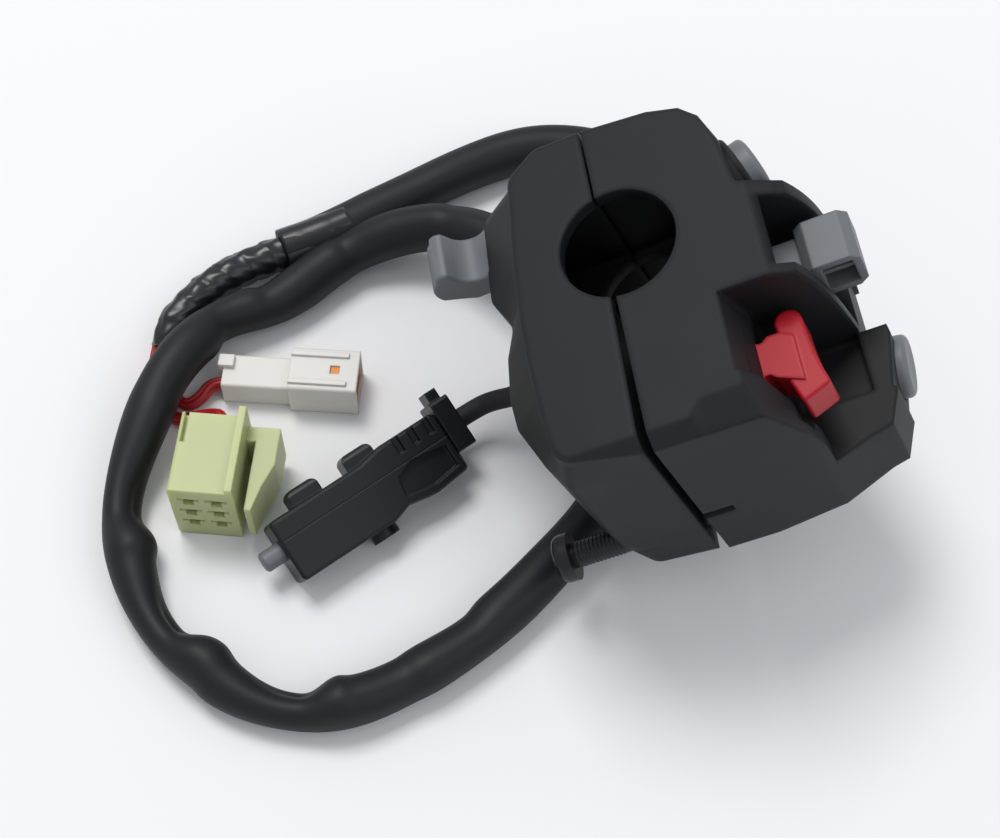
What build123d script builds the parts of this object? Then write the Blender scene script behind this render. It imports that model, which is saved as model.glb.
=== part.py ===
"""Motorbike handlebar switch cluster, as an assembly of separate pieces, in millimetres.

Two moulded half cases clamp on the handlebar. The rear half carries a round top button, a
turn signal paddle, a red rocker and a round mode button. The front half carries a finger
trigger. A harness in a black sleeve leaves the front half, goes round on the table once
and a half, and ends in two connectors, and a lever switch hangs on a lead of its own.

The origin is the centre of the bar bore on the case's near face. +Z is up from the table
that the cluster lies on. The case leans on its far end, so it is modelled upright, bar
axis along Z and rider side along +X, and then leant over about Y.
"""
import math
import os

from build123d import *

# The handlebar and the two half cases
BAR_D = 22.2
BODY_LEN = 49.0
CASE_TOP = 27.2
CASE_DROP = 41.6
FRONT_REACH = 28.6
REAR_REACH = 35.0
FRONT_FLARE_START = 2.6
FRONT_FLARE_END = 10.5
FRONT_TAPER_LEN = 9.0
FRONT_TAPER_START = BODY_LEN - FRONT_TAPER_LEN
SPLIT_X = -2.3
SPLIT_GAP = 0.15
SPLIT_FLARE = 1.7
END_PLATE = 2.8
WALL = 2.2
RIB = 2.5
EDGE_R = 1.0
CORNER_R = 4.0
CEILING = 12.5
LEAN_DEG = 22.8
TABLE_Z = -68.0
SEAT_GAP = 0.3
OVERRUN = 60.0

# Rider side: hood, fin and the two pockets
HOOD_T = 2.6
POCKET_H = 15.0
FIN_T = 2.0
POCKET_NEAR = 0.9
POCKET_END = 18.0
POCKET_FAR = BODY_LEN - POCKET_END
PADDLE_FLOOR = 24.0
ROCKER_FLOOR = 18.0
ROCKER_RIM = 15.2
ROCKER_RAMP = 10.0
ROCKER_POCKET_END = 20.0
ROCKER_FAR = BODY_LEN - ROCKER_POCKET_END
ROCKER_RECESS = 3.0
ROCKER_LEDGE = 29.5
POD_LEN = 20.5
POD_NEAR = BODY_LEN - POD_LEN
POD_TOP = 17.5
POD_RISE = 4.3
POD_REACH = 39.6
FACET_X = 5.6
FACET_TOP = 35.8
FACET_DEEP = 2.9
LIP_TOP = 33.0
LIP_LOW = 38.0
NOSE_ROOM = 1.2

# Clamp screws
SCREW_R = 2.5
SCREW_HEAD_R = 4.8
SCREW_HEAD_T = 3.4
SCREW_PITCH = 0.8
SCREW_HOLE_R = 2.75
SCREW_SOCKET_R = 1.9
NUT_SIDE = 8.0
NUT_T = 4.0
LOWER_SCREW_Y = -36.7
LOWER_SCREW_END = 7.0
LOWER_SCREW_Z = LOWER_SCREW_END - BODY_LEN
LOWER_SCREW_OUT = 31.0
LOWER_SCREW_LEN = 36.5
UPPER_SCREW_Y = 19.6
UPPER_SCREW_END = 19.0
UPPER_SCREW_Z = UPPER_SCREW_END - BODY_LEN
UPPER_SCREW_IN = 17.0
UPPER_SCREW_LEN = 25.0

# Switch carrier and contact board
CARRIER_X = 13.4
CARRIER_T = 1.8
CARRIER_TOP = 17.4
CARRIER_DROP = 13.6
CARRIER_NEAR = 6.4
CARRIER_END = 3.4
CARRIER_FAR = BODY_LEN - CARRIER_END
BOARD_T = 1.2
BOARD_INSET = 1.4
BOARD_ROOM = 2.325
EAR_T = 1.2
CARRIER_SCREW_R = 1.25
CARRIER_SCREW_HEAD_R = 2.4
CARRIER_SCREW_HEAD_T = 1.5
CARRIER_SCREW_LEN = 6.0
RUN_GAP = 0.05
FIT_GAP = 0.2

# Top button
TOP_BUTTON_X = 25.0
TOP_BUTTON_Y = 11.5
TOP_BUTTON_Z = -9.0
TOP_BUTTON_DEG = 18.0
TOP_BUTTON_R = 5.8
TOP_BUTTON_OUT = 2.0
TOP_BUTTON_IN = 2.2
TOP_BUTTON_TRAVEL = 1.4
TOP_BEZEL_R = 7.6
TOP_BEZEL_T = 1.2
STEM_R = 2.2
TOP_STEM_LEN = 6.4
KEY_SWITCH_R = 3.4
TOP_SWITCH_IN = 5.2
MODE_SWITCH_IN = 9.6
MODE_STEM_LEN = 11.6

# Turn signal paddle
PADDLE_PIVOT_X = 18.4
PADDLE_PIVOT_Z = -15.5
PADDLE_Y = -7.5
PADDLE_W = 10.2
PADDLE_LEN = 10.2
PADDLE_BASE_X = 29.4
PADDLE_TIP_X = 39.6
PADDLE_WALL = 1.5
PADDLE_NECK_T = 3.6
PADDLE_NECK_W = 8.8
PADDLE_HUB_R = 2.8
PADDLE_SWING_DEG = 9.0
PIN_R = 1.0
BALL_R = 0.8

# Red rocker
ROCKER_PIVOT_X = 14.2
ROCKER_PIVOT_Y = -27.0
ROCKER_MID_Z = -14.3
ROCKER_HUB_R = 2.8
ROCKER_DRUM_R = 5.2
ROCKER_BLOCK_H = 6.6
ROCKER_BLOCK_W = 8.2
ROCKER_TOP = 7.4
ROCKER_NOSE = 10.2
ROCKER_CAP_X = 22.6
ROCKER_TIP_X = 28.9
ROCKER_CAP_W = 7.6

# Mode button and its pod
MODE_SET = 1.4
MODE_X = POD_REACH - MODE_SET
MODE_Y = -21.5
MODE_END = 10.4
MODE_Z = MODE_END - BODY_LEN
MODE_DEG = -9.0
MODE_R = 6.0
MODE_OUT = 2.8
MODE_IN = 2.2
MODE_TRAVEL = 1.4
MODE_BOARD_IN = 14.2
MODE_BOARD_X = MODE_X - MODE_BOARD_IN
MODE_ROOM_Y = -20.2
MODE_ROOM_H = 12.4
MODE_ROOM_LEN = 10.0
MODE_LEDGE = 1.0
MODE_ROOM_IN = 5.2
MODE_ROOM_X = MODE_X - MODE_ROOM_IN

# Finger trigger
TRIGGER_PIVOT_X = -23.0
TRIGGER_PIVOT_Z = -14.0
TRIGGER_LOW = 11.5
TRIGGER_HIGH = 21.5
TRIGGER_HUB_R = 3.1
TRIGGER_REACH = 40.4
TRIGGER_SLOT_GAP = 0.4
TRIGGER_SLOT_NEAR = 10.2
TRIGGER_SLOT_FAR = 20.5
TRIGGER_PIN_END = 1.4
FINGER_X = -15.2
FINGER_TOP = -16.6
FINGER_T = 2.0
MICRO_X = -19.2
MICRO_W = 5.8
MICRO_H = 5.6
MICRO_LEN = 5.8
MICRO_Y = 13.6
MICRO_Z = -15.2
MICRO_PIN_R = 0.9
MICRO_PIN_TRAVEL = 1.0

# Harness outlet and the lead outlet on the front half
OUTLET_X = -17.0
OUTLET_Y = 20.0
OUTLET_END = 7.4
OUTLET_Z = OUTLET_END - BODY_LEN
OUTLET_DEG = 130.0
OUTLET_R = 7.2
OUTLET_BORE_R = 5.9
OUTLET_LEN = 12.0
GROMMET_FLANGE_R = 6.6
GROMMET_FLANGE_T = 1.6
GROMMET_DEPTH = 7.0
GROMMET_CORE_R = 3.4
LEAD_OUTLET_X = -27.9
LEAD_OUTLET_Y = 2.5
LEAD_OUTLET_END = 6.4
LEAD_OUTLET_Z = LEAD_OUTLET_END - BODY_LEN
LEAD_GROMMET_R = 3.4
LEAD_GROMMET_LEN = 6.0

# Lever switch, which lies on the table, turned and tilted on its long lower edge
LEVER_X = -50.6
LEVER_Y = -13.1
LEVER_TURN_DEG = 28.5
LEVER_TILT_DEG = 25.0
LEVER_LEN = 41.2
LEVER_W = 13.6
LEVER_T = 9.0
LEVER_SEAM = 2.2
LEVER_PEG_W = 7.0
LEVER_PEG_OUT = 3.3
LEVER_PEG_T = 6.4
LEVER_FOOT_R = 3.0
LEVER_FOOT_OUT = 1.9
LEVER_END_LEN = 4.3
LEVER_END_LOW = -2.2
LEVER_END_HIGH = 9.5
LEVER_KEY = 2.4
PLUNGER_R = 2.15
PLUNGER_Y = 0.7
PLUNGER_OUT = 4.5

# White connector, lying along its own X on the table
WHITE_X = -78.3
WHITE_Y = 18.6
WHITE_TURN_DEG = -12.6
WHITE_REAR_LEN = 14.5
WHITE_LEN = 29.0
WHITE_REAR_W = 8.0
WHITE_W = 10.5
WHITE_REAR_H = 7.0
WHITE_H = 9.5
WHITE_WALL = 1.1
WHITE_MOUTH = 8.5
WHITE_WINDOW = 1.9
WHITE_PIN = 0.64

# Green connector, standing on the table with its cavities to the front
GREEN_X = -89.7
GREEN_Y = -11.1
GREEN_TURN_DEG = -13.7
GREEN_W = 13.2
GREEN_LEN = 18.0
GREEN_H = 18.6
GREEN_CAVITY = 2.2
GREEN_CAVITY_DEEP = 9.0
GREEN_PITCH_X = 5.6
GREEN_PITCH_Z = 4.4
GREEN_FLANGE = 1.5
GREEN_LATCH = 6.6
GREEN_TUBE_W = 1.6

# Cords: diameters, and the routes that their centre lines follow on the table
HARNESS_D = 10.5
TAPED_D = 8.0
BUNDLE_D = 3.0
LEAD_D = 4.2
HARNESS_ROUTE = [
    (-7.62, 30.43, -48.33), (-18.28, 44.21, -52.81), (-28.8, 50.0, -56.5), (-40.7, 51.3, -60.3),
    (-52.0, 47.6, -62.6), (-62.0, 40.0, -62.75), (-77.5, 34.4, -60.9), (-87.4, 23.7, -57.1),
    (-96.5, 7.0, -60.6), (-100.4, -13.5, -62.75), (-96.2, -30.0, -62.75),
    (-86.0, -45.0, -62.75), (-75.0, -53.0, -62.75), (-60.5, -56.3, -62.75),
    (-44.8, -51.8, -62.75), (-25.5, -40.7, -62.75), (-8.0, -25.5, -62.75),
    (9.0, -8.5, -62.75), (23.0, 10.0, -62.75), (31.5, 31.0, -62.75), (30.3, 50.0, -62.75),
    (20.5, 64.5, -62.75), (5.0, 72.8, -62.75), (-11.5, 72.0, -62.75), (-38.0, 61.2, -62.75),
    (-50.0, 55.4, -62.75), (-62.0, 52.0, -62.75),
]
TAPED_ROUTE = [
    (-62.0, 52.0, -62.75), (-70.47, 49.6, -62.75), (-78.0, 45.9, -62.6), (-85.8, 38.8, -62.2),
]
WHITE_WIRES_ROUTE = [
    (-84.66, 37.54, -62.2), (-86.88, 35.52, -62.09), (-87.6, 31.9, -65.2), (-88.6, 27.8, -66.5),
    (-89.0, 23.4, -66.5), (-88.2, 19.6, -66.5), (-85.8, 17.9, -66.5), (-82.9, 19.1, -65.8),
    (-80.4, 21.85, -65.0), (-77.85, 21.28, -64.8),
]
GREEN_WIRES_ROUTE = [
    (-86.95, 40.05, -62.2), (-89.17, 38.03, -62.09), (-91.0, 34.1, -65.0), (-92.4, 29.2, -66.5),
    (-92.8, 23.6, -66.5), (-91.9, 18.2, -66.5), (-88.0, 14.2, -66.5), (-81.6, 13.6, -63.6),
    (-77.85, 9.7, -58.7), (-79.02, 4.9, -58.7),
]
LEAD_ROUTE = [
    (-14.76, 2.5, -52.42), (-18.5, 2.5, -53.99), (-22.0, 3.9, -56.9), (-25.35, 4.37, -59.5),
    (-30.27, 1.70, -59.5),
]
CORNER_SHARE = 0.45


def outline(points):
    """A flat face inside a closed run of straight lines."""
    return make_face(Polyline(*points, close=True))


def rounded(points, radius):
    """The same, with round corners except at the two nearest the split."""
    face = outline(points)
    split_x = max(x for x, y in points)
    corners = face.vertices().filter_by(lambda v: v.X < split_x - radius)
    return fillet(corners, radius)


def along_z(points, low, high):
    """A flat outline in the bar's cross-section, drawn out along the bar."""
    return extrude(Pos(0, 0, low) * outline(points), amount=high - low)


def along_y(points, low, high):
    """An outline of (x, z) points, drawn out from y = low to y = high."""
    return extrude(Plane.XZ.offset(-high) * outline(points), amount=high - low)


def along_x(points, low, high):
    """An outline of (y, z) points, drawn out from x = low to x = high."""
    return extrude(Plane.YZ.offset(low) * outline(points), amount=high - low)


def block(x, y, z):
    """A box given by its two ends on each axis."""
    solid = Box(x[1] - x[0], y[1] - y[0], z[1] - z[0])
    return Pos((x[0] + x[1]) / 2, (y[0] + y[1]) / 2, (z[0] + z[1]) / 2) * solid


def rod(place, radius, low, high):
    """A round rod on a place's own Z axis, from low to high."""
    return place * Pos(0, 0, (low + high) / 2) * Cylinder(radius, high - low)


def mapped(shares, wide, top, drop):
    """Outline points from shares of the width and of the heights above and below the bar."""
    return [(x * wide, y * (top if y > 0 else drop)) for x, y in shares]


def lean(shape):
    """Lay the upright case over on its far end."""
    return Rot(0, -LEAN_DEG, 0) * shape


# Places on the upright case that holes, pieces and joints share
ACROSS_X = Rot(0, 90, 0)
TOP_BUTTON_PLACE = (
    Pos(TOP_BUTTON_X, TOP_BUTTON_Y, TOP_BUTTON_Z) * Rot(0, 0, TOP_BUTTON_DEG) * ACROSS_X
)
MODE_PLACE = Pos(MODE_X, MODE_Y, MODE_Z) * Rot(0, 0, MODE_DEG) * ACROSS_X
OUTLET_PLACE = Pos(OUTLET_X, OUTLET_Y, OUTLET_Z) * Rot(0, 0, OUTLET_DEG) * ACROSS_X
LEAD_PLACE = Pos(LEAD_OUTLET_X, LEAD_OUTLET_Y, LEAD_OUTLET_Z) * Rot(0, 0, 180) * ACROSS_X
LOWER_SCREW_PLACE = Pos(0, LOWER_SCREW_Y, LOWER_SCREW_Z) * ACROSS_X
UPPER_SCREW_PLACE = Pos(0, UPPER_SCREW_Y, UPPER_SCREW_Z) * ACROSS_X
CARRIER_SCREW_PLACES = [
    Pos(0, CARRIER_TOP - 2 * CARRIER_SCREW_HEAD_R, -CARRIER_FAR + 2 * CARRIER_SCREW_HEAD_R)
    * ACROSS_X,
    Pos(0, -CARRIER_DROP + 2 * CARRIER_SCREW_HEAD_R, -CARRIER_FAR + 2 * CARRIER_SCREW_HEAD_R)
    * ACROSS_X,
]
BOARD_X = CARRIER_X + CARRIER_T
BOARD_TOP_X = BOARD_X + BOARD_T
HALF_CLAMP = BAR_D / 2

# Outlines of the half cases, as shares of their reach and of the heights above and below
FRONT_NEAR_SHARES = [
    (-0.098, 1.0), (-0.42, 1.0), (-0.559, 0.897), (-0.643, 0.816), (-0.71, 0.147),
    (-0.724, -0.065), (-0.734, -0.219), (-0.734, -0.433), (-0.727, -0.577), (-0.699, -0.812),
    (-0.664, -0.942), (-0.098, -1.0),
]
FRONT_WIDE_SHARES = [
    (-0.098, 1.0), (-0.42, 1.0), (-0.699, 0.941), (-0.965, 0.853), (-1.0, 0.147),
    (-0.881, -0.065), (-0.958, -0.219), (-0.993, -0.433), (-0.976, -0.589), (-0.836, -0.812),
    (-0.71, -0.952), (-0.098, -1.0),
]
FRONT_FAR_SHARES = [
    (-0.098, 0.971), (-0.42, 0.971), (-0.629, 0.868), (-0.822, 0.68), (-0.867, 0.147),
    (-0.857, -0.065), (-0.874, -0.219), (-0.927, -0.433), (-0.944, -0.565), (-0.85, -0.745),
    (-0.594, -0.964), (-0.098, -0.99),
]
REAR_SHARES = [
    (-0.066, 1.0), (0.3, 0.956), (0.474, 0.89), (0.563, 0.772), (0.631, 0.533),
    (0.663, 0.147), (0.7, 0.11), (1.086, 0.088), (1.086, -0.757), (0.989, -0.889),
    (0.629, -1.0), (-0.066, -1.0),
]
POD_SHARES = [
    (0.505, -0.318), (0.98, -0.318), (1.0, -0.457), (0.944, -0.716), (0.962, -0.731),
    (0.894, -0.894), (0.505, -0.985),
]

# Rider side seen from above: how far the fins and the hood reach, going away from the grip
FIN_PLAN_SHARES = [
    (0.7, 0.0), (0.837, 0.049), (0.903, 0.194), (0.949, 0.371), (0.983, 0.612),
]
HOOD_PLAN_SHARES = [
    (0.7, 0.0), (0.883, 0.073), (0.926, 0.139), (0.963, 0.218), (1.006, 0.49),
]
FAR_PLAN_SHARES = [(0.229, 1.0), (0.617, 0.935), (1.0, 0.91)]
LIP_PLAN_SHARES = [
    (0.449, 0.0), (0.52, 0.09), (0.631, 0.273), (0.68, 0.43), (0.686, 0.592),
]


def rear_plan(shares):
    """Everything the rider side may fill, drawn out over the whole height."""
    curve = [(x * REAR_REACH, -z * BODY_LEN) for x, z in shares]
    far = [(x * REAR_REACH, -z * BODY_LEN) for x, z in reversed(FAR_PLAN_SHARES)]
    last = (curve[-1][0], far[0][1])
    ends = [last] + far[1:] + [(SPLIT_X, -BODY_LEN), (SPLIT_X, 0), curve[0]]
    lines = [Spline(*curve[1:]), Polyline(curve[-1], *ends), Line(curve[0], curve[1])]
    face = Plane.XZ.offset(-2 * CASE_TOP) * make_face(lines)
    return extrude(face, amount=2 * CASE_TOP + 2 * CASE_DROP)


def lower_edge_cut(low, high):
    """The broad chamfer between the near face and the face below."""
    deep = 0.065 * CASE_DROP
    points = [
        (-CASE_DROP + deep, deep), (-CASE_DROP + deep, 0), (-CASE_DROP, -deep),
        (-CASE_DROP - deep, -deep), (-CASE_DROP - deep, deep),
    ]
    return along_x(points, low, high)


def rib_frame(low_x, high_x, low_y, high_y):
    """A rib across the case that carries the bar."""
    mid = -BODY_LEN / 2
    return block((low_x, high_x), (low_y, high_y), (mid - RIB / 2, mid + RIB / 2))


def front_case():
    near = mapped(FRONT_NEAR_SHARES, FRONT_REACH, CASE_TOP, CASE_DROP)
    wide = mapped(FRONT_WIDE_SHARES, FRONT_REACH, CASE_TOP, CASE_DROP)
    far = mapped(FRONT_FAR_SHARES, FRONT_REACH, CASE_TOP, CASE_DROP)
    near, wide, far = (rounded(points, CORNER_R) for points in (near, wide, far))
    slab = extrude(Pos(0, 0, -FRONT_FLARE_START) * near, amount=FRONT_FLARE_START)
    rim = slab.faces().sort_by(Axis.Z)[-1].edges().filter_by(
        lambda e: e.center().X < SPLIT_X - CORNER_R
    )
    slab = fillet(rim, EDGE_R)
    flare = loft(
        [
            Pos(0, 0, -FRONT_FLARE_START) * near,
            Pos(0, 0, -FRONT_FLARE_END) * wide,
        ],
        ruled=True,
    )
    barrel = extrude(
        Pos(0, 0, -FRONT_TAPER_START) * wide, amount=FRONT_TAPER_START - FRONT_FLARE_END
    )
    heel = loft(
        [
            Pos(0, 0, -FRONT_TAPER_START) * wide,
            Pos(0, 0, -BODY_LEN) * far,
        ],
        ruled=True,
    )
    case = slab + flare + barrel + heel
    case += rod(OUTLET_PLACE, OUTLET_R, 0, OUTLET_LEN)
    case += rod(LEAD_PLACE, LEAD_GROMMET_R + WALL, -LEAD_GROMMET_LEN, 0)

    # The inside is open round the bar, with a flat ceiling above it
    room_x = 0.56 * FRONT_REACH
    room = block((-room_x, 0), (-CEILING, CEILING), (-BODY_LEN + END_PLATE, -END_PLATE))
    low_room = block(
        (-room_x, 0), (-CASE_DROP + 3 * WALL, -CEILING), (-FRONT_TAPER_START + 3 * WALL, -3 * WALL)
    )
    case -= room + low_room
    case += rib_frame(-room_x, 0, -CASE_DROP + WALL, CEILING)
    case -= rod(Pos(0, 0, 0), HALF_CLAMP, -BODY_LEN - WALL, WALL)

    # Split side, closed at the top and open at the bottom
    flare_top = SPLIT_X - SPLIT_GAP
    flare_low = SPLIT_X - SPLIT_GAP - SPLIT_FLARE
    split = [
        (flare_top, OVERRUN), (flare_top, CASE_TOP), (flare_low, -CASE_DROP),
        (flare_low, -OVERRUN), (OVERRUN, -OVERRUN), (OVERRUN, OVERRUN),
    ]
    case -= along_z(split, -OVERRUN - BODY_LEN, OVERRUN)
    case -= lower_edge_cut(-OVERRUN, OVERRUN)

    # Clamp screw holes
    case -= rod(LOWER_SCREW_PLACE, SCREW_HOLE_R, -OVERRUN, 0)
    case -= rod(UPPER_SCREW_PLACE, SCREW_HOLE_R, -OVERRUN, 0)
    case -= rod(UPPER_SCREW_PLACE, SCREW_HEAD_R + FIT_GAP, -OVERRUN, -UPPER_SCREW_IN)

    # Trigger slot, its pin hole and the room for its small switch
    slot_y = (TRIGGER_LOW - TRIGGER_SLOT_GAP, TRIGGER_HIGH + TRIGGER_SLOT_GAP)
    case -= block(
        (-OVERRUN, TRIGGER_PIVOT_X + TRIGGER_HUB_R + TRIGGER_SLOT_GAP),
        slot_y, (-TRIGGER_SLOT_FAR, -TRIGGER_SLOT_NEAR),
    )
    case -= trigger_pin(RUN_GAP)
    case -= block(
        (TRIGGER_PIVOT_X, MICRO_X + MICRO_W + FIT_GAP),
        (MICRO_Y - FIT_GAP, MICRO_Y + MICRO_H + FIT_GAP),
        (-TRIGGER_SLOT_FAR, MICRO_Z + MICRO_LEN + FIT_GAP),
    )

    # Harness outlet and lead outlet
    case -= rod(OUTLET_PLACE, OUTLET_BORE_R, OUTLET_LEN - GROMMET_DEPTH, OVERRUN)
    case -= rod(OUTLET_PLACE, GROMMET_CORE_R, -0.85 * OUTLET_LEN, OUTLET_LEN)
    case -= rod(LEAD_PLACE, LEAD_GROMMET_R, -LEAD_GROMMET_LEN, OVERRUN)
    case -= rod(LEAD_PLACE, LEAD_GROMMET_R + WALL, 0, OVERRUN)
    return case


def rear_case():
    shell = mapped(REAR_SHARES, REAR_REACH, CASE_TOP, CASE_DROP)
    case = along_z(shell, -BODY_LEN, 0) & rear_plan(FIN_PLAN_SHARES)
    hood_x = 0.6 * REAR_REACH
    hood = [(hood_x, 0), (hood_x, 1.4 * HOOD_T), (REAR_REACH, HOOD_T), (2 * REAR_REACH, HOOD_T),
            (2 * REAR_REACH, 0)]
    case += along_z(hood, -BODY_LEN, 0) & rear_plan(HOOD_PLAN_SHARES)
    side = [
        (-POD_TOP, -POD_NEAR), (-POD_TOP + POD_RISE, -POD_NEAR - 2 * POD_RISE),
        (-POD_TOP + POD_RISE, -0.91 * BODY_LEN), (-OVERRUN, -0.91 * BODY_LEN),
        (-OVERRUN, -POD_NEAR),
    ]
    pod = along_z(mapped(POD_SHARES, POD_REACH, CASE_TOP, CASE_DROP), -BODY_LEN, -POD_NEAR)
    case += pod & along_x(side, 0, OVERRUN)
    case += rod(TOP_BUTTON_PLACE, TOP_BEZEL_R, -3 * TOP_BUTTON_IN, -TOP_BUTTON_IN)
    case = fillet(case.faces().sort_by(Axis.Z)[-1].edges().filter_by(
        lambda e: e.center().Y > 0.2 * CASE_TOP and e.center().X > SPLIT_X + CORNER_R
    ), EDGE_R)

    # Paddle pocket under the hood, rocker pocket under the fin
    case -= block((PADDLE_FLOOR, OVERRUN), (-POCKET_H, 0), (-POCKET_FAR, -POCKET_NEAR))
    fin_low = -POCKET_H - FIN_T
    floor = [
        (ROCKER_RIM, OVERRUN), (ROCKER_RIM, 0), (ROCKER_FLOOR, -ROCKER_RAMP),
        (ROCKER_FLOOR, -ROCKER_FAR), (OVERRUN, -ROCKER_FAR), (OVERRUN, OVERRUN),
    ]
    case -= along_y(floor, -LIP_TOP, fin_low)
    lip = [(x * REAR_REACH, -z * BODY_LEN) for x, z in LIP_PLAN_SHARES]
    beyond = [(lip[0][0], OVERRUN)] + lip + [(OVERRUN, lip[-1][1]), (OVERRUN, OVERRUN)]
    case -= along_y(beyond, -OVERRUN, -LIP_TOP)
    slope = [
        (ROCKER_FLOOR, -LIP_TOP), (lip[-1][0], -LIP_LOW), (OVERRUN, -LIP_LOW),
        (OVERRUN, -LIP_TOP),
    ]
    case -= along_z(slope, -ROCKER_FAR, OVERRUN)
    notch = ROCKER_CAP_W / 2 + SEAT_GAP
    case -= block(
        (ROCKER_CAP_X - NOSE_ROOM, OVERRUN), (-LIP_LOW - NOSE_ROOM, -LIP_TOP),
        (ROCKER_MID_Z - notch, ROCKER_MID_Z + notch),
    )
    case -= block(
        (ROCKER_FLOOR + ROCKER_RECESS, REAR_REACH - WALL / 2),
        (-ROCKER_LEDGE, fin_low), (-ROCKER_FAR - ROCKER_RECESS, -ROCKER_FAR),
    )
    case -= lower_edge_cut(SPLIT_X, OVERRUN)
    sections = []
    full_x = FACET_X + WALL
    for x, top in ((FACET_X, CASE_DROP - FACET_DEEP), (full_x, FACET_TOP)):
        facet = [(-top, 0), (-CASE_DROP, -FACET_DEEP), (-CASE_DROP - top, 0), (-CASE_DROP, top)]
        sections.append(Plane.YZ.offset(x) * outline(facet))
    case -= loft(sections, ruled=True) + along_x(facet, full_x, OVERRUN)

    # The inside: open round the bar, a room behind the paddle and one low down
    far = -BODY_LEN + END_PLATE
    case -= block((SPLIT_X, CARRIER_X), (-CEILING, CEILING), (far, -END_PLATE))
    case -= block(
        (CARRIER_X - RIB, PADDLE_FLOOR - WALL), (-CARRIER_DROP - FIT_GAP, 0),
        (-CARRIER_FAR - FIT_GAP, -CARRIER_NEAR + FIT_GAP),
    )
    case -= block(
        (CARRIER_X - RIB, BOARD_TOP_X + BOARD_ROOM), (-FIT_GAP, CARRIER_TOP + FIT_GAP),
        (-CARRIER_FAR - FIT_GAP, -CARRIER_NEAR + FIT_GAP),
    )
    low_floor = (-CASE_DROP + 2 * WALL, -CEILING)
    case -= block((SPLIT_X, ROCKER_RIM - WALL), low_floor, (far, -3 * WALL))
    for inset, low_x, high_x in (
        (0, ROCKER_RIM - 2 * WALL, MODE_BOARD_X), (MODE_LEDGE, MODE_BOARD_X, MODE_ROOM_X)
    ):
        case -= mode_room(inset, low_x, high_x)

    # Ribs, the boss that takes the lower clamp screw, and posts for the carrier
    case += rib_frame(SPLIT_X, ROCKER_RIM - WALL, -CASE_DROP + WALL, -CEILING)
    case += rib_frame(SPLIT_X, CARRIER_X - FIT_GAP, -CEILING, CEILING)
    case += block(
        (SPLIT_X, NUT_SIDE + NUT_T),
        (-CASE_DROP + WALL, LOWER_SCREW_Y + NUT_SIDE / 2 + WALL),
        (-BODY_LEN + WALL, LOWER_SCREW_Z + NUT_SIDE / 2 + WALL),
    )
    for place in CARRIER_SCREW_PLACES:
        case += rod(place, CARRIER_SCREW_HEAD_R, BOARD_TOP_X, PADDLE_FLOOR - WALL)
    case += rocker_bosses()

    case -= rod(Pos(0, 0, 0), HALF_CLAMP, -BODY_LEN - WALL, WALL)
    for place in (LOWER_SCREW_PLACE, UPPER_SCREW_PLACE):
        case -= rod(place, SCREW_HOLE_R, SPLIT_X - WALL, NUT_SIDE)
        case -= nut_room(place)
    for place in CARRIER_SCREW_PLACES:
        case -= rod(place, CARRIER_SCREW_R, 0, CARRIER_X + CARRIER_SCREW_LEN + FIT_GAP)

    # Holes for the buttons, the paddle's neck and the rocker's drum
    case -= rod(TOP_BUTTON_PLACE, TOP_BEZEL_R, -TOP_BUTTON_IN, OVERRUN)
    top_floor = -TOP_BUTTON_IN - TOP_BUTTON_TRAVEL - FIT_GAP
    case -= rod(TOP_BUTTON_PLACE, TOP_BUTTON_R + FIT_GAP, top_floor, OVERRUN)
    case -= rod(TOP_BUTTON_PLACE, STEM_R + FIT_GAP, -2 * TOP_STEM_LEN, 0)
    case -= rod(TOP_BUTTON_PLACE, KEY_SWITCH_R + FIT_GAP, -2 * TOP_STEM_LEN,
                -TOP_SWITCH_IN + FIT_GAP)
    mode_floor = -MODE_IN - MODE_TRAVEL - FIT_GAP
    case -= rod(MODE_PLACE, MODE_R + FIT_GAP, mode_floor, OVERRUN)
    case -= rod(MODE_PLACE, STEM_R + FIT_GAP, -(MODE_X - MODE_ROOM_X) - 2 * WALL, 0)
    swing = math.tan(math.radians(PADDLE_SWING_DEG)) * (PADDLE_FLOOR - PADDLE_PIVOT_X)
    neck = PADDLE_NECK_T / 2 + swing + 2 * SEAT_GAP
    case -= block(
        (PADDLE_FLOOR - 2 * WALL, PADDLE_FLOOR + WALL),
        (PADDLE_Y - PADDLE_NECK_W / 2 - SEAT_GAP, PADDLE_Y + PADDLE_NECK_W / 2 + SEAT_GAP),
        (PADDLE_PIVOT_Z - neck, PADDLE_PIVOT_Z + neck),
    )
    case -= rod(
        Pos(ROCKER_PIVOT_X, ROCKER_PIVOT_Y, ROCKER_MID_Z), ROCKER_DRUM_R + SEAT_GAP,
        -ROCKER_BLOCK_W / 2 - SEAT_GAP, ROCKER_BLOCK_W / 2 + SEAT_GAP,
    )
    case -= rocker_pin(RUN_GAP)

    # The drain slot in the lower face at the split
    case -= block(
        (SPLIT_X - WALL, SPLIT_X + 2.6 * WALL), (-OVERRUN, -CASE_DROP + WALL / 2),
        (-0.69 * BODY_LEN, -0.69 * BODY_LEN + WALL),
    )
    return case


def mode_room(inset, low_x, high_x):
    """Part of the room in the pod: the board rests on the ledge where it narrows."""
    half_y = MODE_ROOM_H / 2 - inset
    half_z = MODE_ROOM_LEN / 2 - inset
    return block(
        (low_x, high_x), (MODE_ROOM_Y - half_y, MODE_ROOM_Y + half_y),
        (MODE_Z - half_z, MODE_Z + half_z),
    )


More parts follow.
